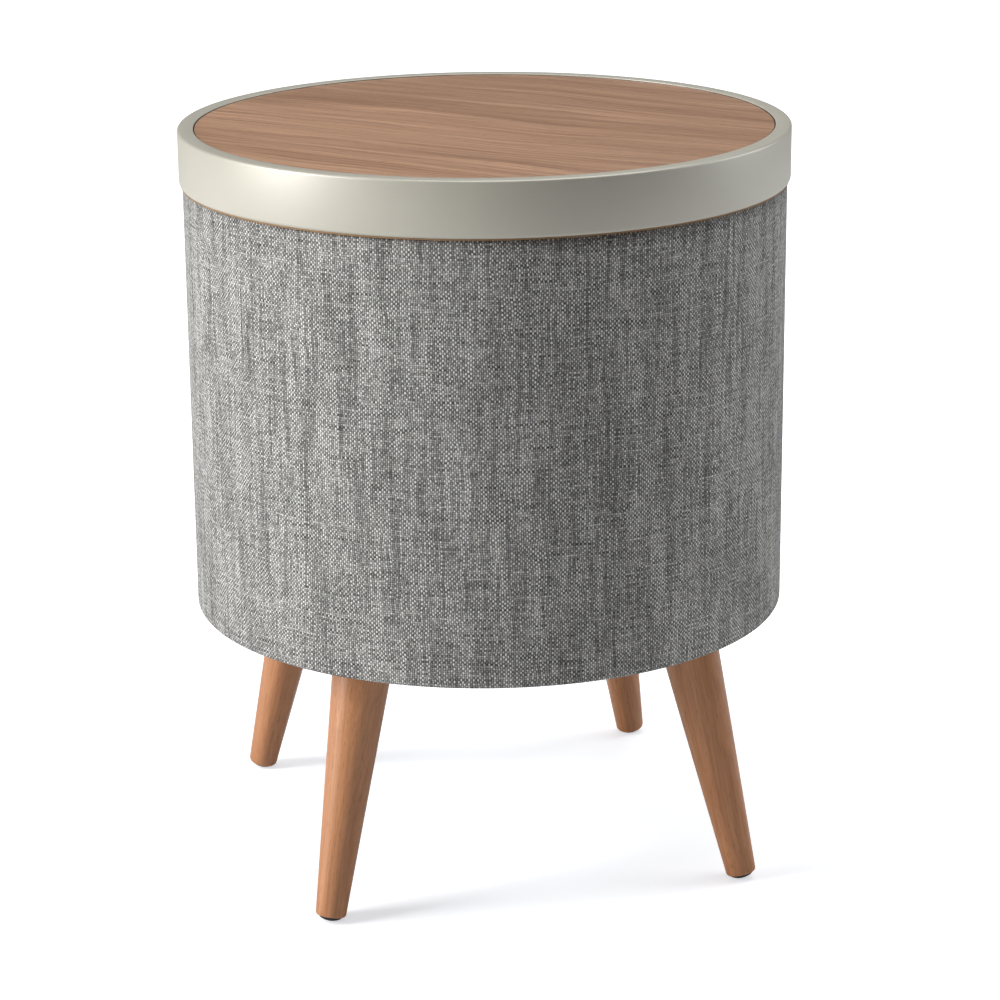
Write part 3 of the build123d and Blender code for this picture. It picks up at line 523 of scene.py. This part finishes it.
def make_sleeve():
    """The cloth round the drum, tucked under at the bottom and cut away behind the rear panel's edge."""
    tuck = CLOTH_RADIUS - CLOTH_TUCK
    rows = [(CLOTH_RADIUS, CLOTH_BOTTOM + (CLOTH_TOP - CLOTH_BOTTOM) * step / SLEEVE_ROWS)
            for step in range(SLEEVE_ROWS + 1)]
    bm = spun([(tuck, CLOTH_BOTTOM)] + rows, SLEEVE_STEPS, closed=False)
    round_ring(bm, CLOTH_RADIUS, CLOTH_BOTTOM, CLOTH_CORNER, 6)
    left = panel_low.x + PANEL_LAP
    right = panel_high.x - PANEL_LAP
    bottom = panel_low.z + PANEL_LAP
    top = panel_high.z - PANEL_LAP
    cuts = [((x, 0, 0), (1, 0, 0)) for x in (left, right)]
    cuts += [((0, 0, z), (0, 0, 1)) for z in (bottom, top)]
    for point, direction in cuts:
        bmesh.ops.bisect_plane(bm, geom=bm.verts[:] + bm.edges[:] + bm.faces[:], dist=1e-6,
                               plane_co=point, plane_no=direction)

    def in_opening(face):
        spot = face.calc_center_median()
        return left < spot.x < right and spot.y > 0 and bottom < spot.z < top

    bmesh.ops.delete(bm, geom=[face for face in bm.faces if in_opening(face)], context="FACES")
    lay_flat(bm, "cut")
    sleeve = piece("cloth_sleeve", bm, "grey_weave", stands_for=["fabric_sleeve"], sharp=60)
    skin = sleeve.modifiers.new("thickness", "SOLIDIFY")
    skin.thickness = CLOTH_THICKNESS
    skin.offset = -1


# ---------------------------------------------------------------------------
# Legs and glides
# ---------------------------------------------------------------------------
def leg_frame(azimuth):
    """The place of a leg, whose own origin is where its axis meets the floor."""
    return (Matrix.Rotation(math.radians(azimuth), 4, "Z") @ Matrix.Translation((LEG_FOOT_REACH, 0, 0))
            @ Matrix.Rotation(-LEG_TILT, 4, "Y"))


def leg_radius(along):
    """The leg's radius at a distance along its axis from the floor."""
    return LEG_THIN + along * (LEG_THICK - LEG_THIN) / LEG_AXIS


GLIDE_CENTRE = GLIDE_DOME / math.cos(LEG_TILT)
GLIDE_TIP = GLIDE_CENTRE - GLIDE_DOME
LEG_FOOT = GLIDE_TIP + GLIDE_DOME - math.sqrt(GLIDE_DOME ** 2 - GLIDE_RADIUS ** 2) + GLIDE_STEM


def make_leg(name, azimuth, number):
    """A tapered leg, cut level under its plate, with its own stretch of grain."""
    top = LEG_END / math.cos(LEG_TILT) + LEG_SPARE
    rows = [LEG_FOOT + (top - LEG_FOOT) * step / LEG_ROWS for step in range(LEG_ROWS + 1)]
    corners = [(0, LEG_FOOT)] + [(leg_radius(s), s) for s in rows] + [(0, top)]
    bm = spun(corners, LEG_STEPS, closed=False)
    round_ring(bm, leg_radius(LEG_FOOT), LEG_FOOT, LEG_FOOT_ROUND, 5)
    along = bm.verts.layers.float_vector.new("along_grain")
    for vert in bm.verts:
        vert[along] = (vert.co.z + LEG_GRAIN_STEP * number, vert.co.x + LEG_GRAIN_SHIFT * number,
                       vert.co.y)
    bm.transform(leg_frame(azimuth))
    bmesh.ops.bisect_plane(bm, geom=bm.verts[:] + bm.edges[:] + bm.faces[:], dist=1e-7,
                           plane_co=(0, 0, LEG_END), plane_no=(0, 0, 1), clear_outer=True)
    bmesh.ops.holes_fill(bm, edges=[edge for edge in bm.edges if edge.is_boundary], sides=0)
    piece("turned_leg_" + name, bm, "stained_beech", stands_for=["leg_" + name])


def make_glide(azimuth):
    """A domed foot with a short stem up to the leg's end."""
    slope = math.asin(GLIDE_RADIUS / GLIDE_DOME)
    angles = [slope * step / GLIDE_ROWS for step in range(GLIDE_ROWS + 1)]
    dome = [(GLIDE_DOME * math.sin(angle), GLIDE_CENTRE - GLIDE_DOME * math.cos(angle))
            for angle in angles]
    bm = spun(dome + [(GLIDE_RADIUS, LEG_FOOT), (0, LEG_FOOT)], GLIDE_STEPS, closed=False)
    round_ring(bm, *dome[-1], GLIDE_ROUND, 3)
    bm.transform(leg_frame(azimuth))
    return bm


def make_legs():
    """Four legs, and their four glides as one piece."""
    for number, (name, azimuth) in enumerate(LEG_AZIMUTHS.items()):
        make_leg(name, azimuth, number)
    glides = joined([make_glide(azimuth) for azimuth in LEG_AZIMUTHS.values()])
    piece("foot_glides", glides, "foot_plastic", stands_for=["leg_glides"])


# ---------------------------------------------------------------------------
# Rubber surrounds and the spider
# ---------------------------------------------------------------------------
RING_GAP = 0.0004
RING_STEPS = 96
ROLL_STEPS = 10
SUB_ROLL = 0.0026
SUB_SKIN = 0.0008
DRIVER_ROLL = 0.0022
DRIVER_SKIN = 0.0006
COIL_RADIUS = 0.0143
SPIDER_FOLDS = 5
FOLD_STEPS = 8
SPIDER_SKIN = 0.0005


def roll_ring(inner, outer, roll, thickness):
    """A rubber ring from flat lands at zero height, with a half-round roll that bulges towards +Z."""
    middle = (inner + outer) / 2
    crown = roll + thickness
    start = math.asin(thickness / crown)
    over = [start + (math.pi - 2 * start) * step / ROLL_STEPS for step in range(ROLL_STEPS + 1)]
    under = [math.pi * step / ROLL_STEPS for step in range(ROLL_STEPS + 1)]
    corners = [(inner, 0), (inner, thickness)]
    corners += [(middle - crown * math.cos(angle), crown * math.sin(angle)) for angle in over]
    corners += [(outer, thickness), (outer, 0)]
    corners += [(middle + roll * math.cos(angle), roll * math.sin(angle)) for angle in under]
    return spun(corners, RING_STEPS)


def make_surround(name, node, cone, place, roll, thickness):
    """The rubber ring of one driver, from just outside its cone to its basket."""
    low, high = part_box(node)
    cone_low, cone_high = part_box(cone)
    outer = (high.y - low.y) / 2
    inner = (cone_high.y - cone_low.y) / 2 + RING_GAP
    bm = roll_ring(inner, outer, roll, thickness)
    bm.transform(place)
    piece(name, bm, "black_rubber", stands_for=[node], sharp=50)


def make_surrounds():
    """The subwoofer's rubber ring, which bulges down, and the two drivers', which bulge outwards."""
    low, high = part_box("sub_surround")
    down = Matrix.Translation((0, 0, high.z)) @ Matrix.Rotation(math.pi, 4, "X")
    make_surround("sub_rubber_roll", "sub_surround", "sub_cone", down, SUB_ROLL, SUB_SKIN)
    for side, sign in (("left", -1), ("right", 1)):
        low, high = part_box(side + "_driver_surround")
        base = min(abs(low.x), abs(high.x)) * sign
        outwards = Matrix.Rotation(sign * math.pi / 2, 4, "Y")
        place = Matrix.Translation((base, 0, (low.z + high.z) / 2)) @ outwards
        make_surround(side + "_rubber_roll", side + "_driver_surround", side + "_driver_cone", place,
                      DRIVER_ROLL, DRIVER_SKIN)


def make_spider():
    """A thin disc in rings of folds, as deep as the space it stands for."""
    low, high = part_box("sub_spider")
    inner = COIL_RADIUS + RING_GAP
    middle = (low.z + high.z) / 2
    depth = (high.z - low.z - SPIDER_SKIN) / 2
    steps = SPIDER_FOLDS * FOLD_STEPS
    line = []
    for step in range(steps + 1):
        reach = inner + (high.x - inner) * step / steps
        rise = depth * math.sin(math.tau * SPIDER_FOLDS * step / steps)
        line.append((reach, rise))
    corners = [(reach, middle + rise + SPIDER_SKIN / 2) for reach, rise in line]
    corners += [(reach, middle + rise - SPIDER_SKIN / 2) for reach, rise in reversed(line)]
    piece("folded_spider", spun(corners, RING_STEPS), "cone_paper", stands_for=["sub_spider"], sharp=60)


# ---------------------------------------------------------------------------
# Camera, floor and light
# ---------------------------------------------------------------------------
# The camera's place, its lens in millimetres, and the directions of its own right, up and back
CAMERA_PLACE = (-0.46113, -2.0239, 0.87589)
CAMERA_LENS = 112.63
CAMERA_RIGHT = (0.973509, -0.228497, -0.008317)
CAMERA_UP = (0.074801, 0.283896, 0.955933)
CAMERA_BACK = (-0.216067, -0.931232, 0.293467)
VIEW_TURN = math.radians(-13.16)
SENSOR_WIDTH = 36
FLOOR_HALF = 14
FLOOR_GLOW = 0.55
# Painted light: the floor's extra glow under the drum, which fills the drum's shadow
PAINTED_LIGHT_UNDER_DRUM = 0.17
FLOOR_EDGE_GLOW = 1.1
WORLD_GLOW = 0.08
LIGHT_AIM = Vector((0, 0, 0.3))


def make_camera():
    """The camera, placed by its own three axes."""
    data = bpy.data.cameras.new("camera")
    data.lens = CAMERA_LENS
    data.sensor_width = SENSOR_WIDTH
    camera = bpy.data.objects.new("camera", data)
    turn = Matrix((CAMERA_RIGHT, CAMERA_UP, CAMERA_BACK)).transposed()
    camera.matrix_world = Matrix.Translation(CAMERA_PLACE) @ turn.to_4x4()
    bpy.context.scene.collection.objects.link(camera)
    bpy.context.scene.camera = camera


def make_floor():
    """A pale floor, seen only from above, that glows a little so that it stays nearly white.

    The glow is stronger in the dark patch below the drum, as painted light that fills the drum's shadow,
    and rises to white away from the legs, which also paints out the drum's broad shadow further off.
    """
    bm = bmesh.new()
    bmesh.ops.create_grid(bm, x_segments=1, y_segments=1, size=FLOOR_HALF)
    mesh = bpy.data.meshes.new("floor")
    bm.to_mesh(mesh)
    bm.free()
    material, tree, shader = new_material("pale_floor", base_color=(0.8, 0.8, 0.8, 1), roughness=0.9)
    seen = tree.nodes.new("ShaderNodeLightPath").outputs["Is Camera Ray"]
    middle = add(tree, "ShaderNodeVectorMath", {0: object_place(tree)}, operation="LENGTH")
    distance = middle.outputs["Value"]
    # Painted light fills the drum's shadow below it; the far floor rises to white, which also paints out
    # the drum's broad shadow there
    painted_light_under_drum = spread(tree, distance, 0.08, 0.22, FLOOR_GLOW + PAINTED_LIGHT_UNDER_DRUM, FLOOR_GLOW)
    beyond = spread(tree, distance, 0.34, 0.6, FLOOR_GLOW, FLOOR_EDGE_GLOW)
    brightness = calc(tree, "MAXIMUM", painted_light_under_drum, beyond)
    glow = add(tree, "ShaderNodeEmission", {"Color": (0.96, 0.98, 1.02, 1),
                                            "Strength": calc(tree, "MULTIPLY", seen, brightness)})
    both = add(tree, "ShaderNodeAddShader", {0: shader.outputs[0], 1: glow.outputs[0]})
    below = tree.nodes.new("ShaderNodeNewGeometry").outputs["Backfacing"]
    clear = tree.nodes.new("ShaderNodeBsdfTransparent")
    one_way = add(tree, "ShaderNodeMixShader", {0: below, 1: both.outputs[0], 2: clear.outputs[0]})
    tree.links.new(one_way.outputs[0], tree.nodes["Material Output"].inputs["Surface"])
    mesh.materials.append(material)
    floor = bpy.data.objects.new("floor", mesh)
    bpy.context.scene.collection.objects.link(floor)


def soft_box(name, azimuth, elevation, distance, size, power, colour=(1.0, 1.0, 1.0)):
    """A soft light aimed at the drum, placed by its direction from the camera's own line of view."""
    data = bpy.data.lights.new(name, "AREA")
    data.shape = "RECTANGLE"
    data.size, data.size_y = size
    data.energy = power
    data.color = colour
    light = bpy.data.objects.new(name, data)
    turn = math.radians(azimuth) - VIEW_TURN
    rise = math.radians(elevation)
    direction = Vector((math.sin(turn) * math.cos(rise), -math.cos(turn) * math.cos(rise),
                        math.sin(rise)))
    place = Matrix.Translation(LIGHT_AIM + direction * distance)
    light.matrix_world = place @ direction.to_track_quat("Z", "Y").to_matrix().to_4x4()
    bpy.context.scene.collection.objects.link(light)


def make_light():
    """A key light from the left, a weak bluish one from the right, one above, and a dim sky."""
    soft_box("key_light", azimuth=-102, elevation=23, distance=5.0, size=(1.9, 4.2), power=325)
    soft_box("fill_light", azimuth=80, elevation=20, distance=3.0, size=(1.8, 1.8), power=33,
             colour=(0.93, 0.96, 1.0))
    soft_box("top_light", azimuth=110, elevation=76, distance=2.4, size=(2.2, 2.2), power=38)
    world = bpy.data.worlds.new("studio")
    world.use_nodes = True
    tree = world.node_tree
    seen = tree.nodes.new("ShaderNodeLightPath").outputs["Is Camera Ray"]
    strength = spread(tree, seen, 0.0, 1.0, WORLD_GLOW, 1.0)
    tree.nodes["Background"].inputs["Color"].default_value = (1, 1, 1, 1)
    tree.links.new(strength, tree.nodes["Background"].inputs["Strength"])
    bpy.context.scene.world = world
    bpy.context.scene.view_settings.view_transform = "Standard"


make_rim()
make_board()
make_sleeve()
make_legs()
make_surrounds()
make_spider()
make_camera()
make_floor()
make_light()
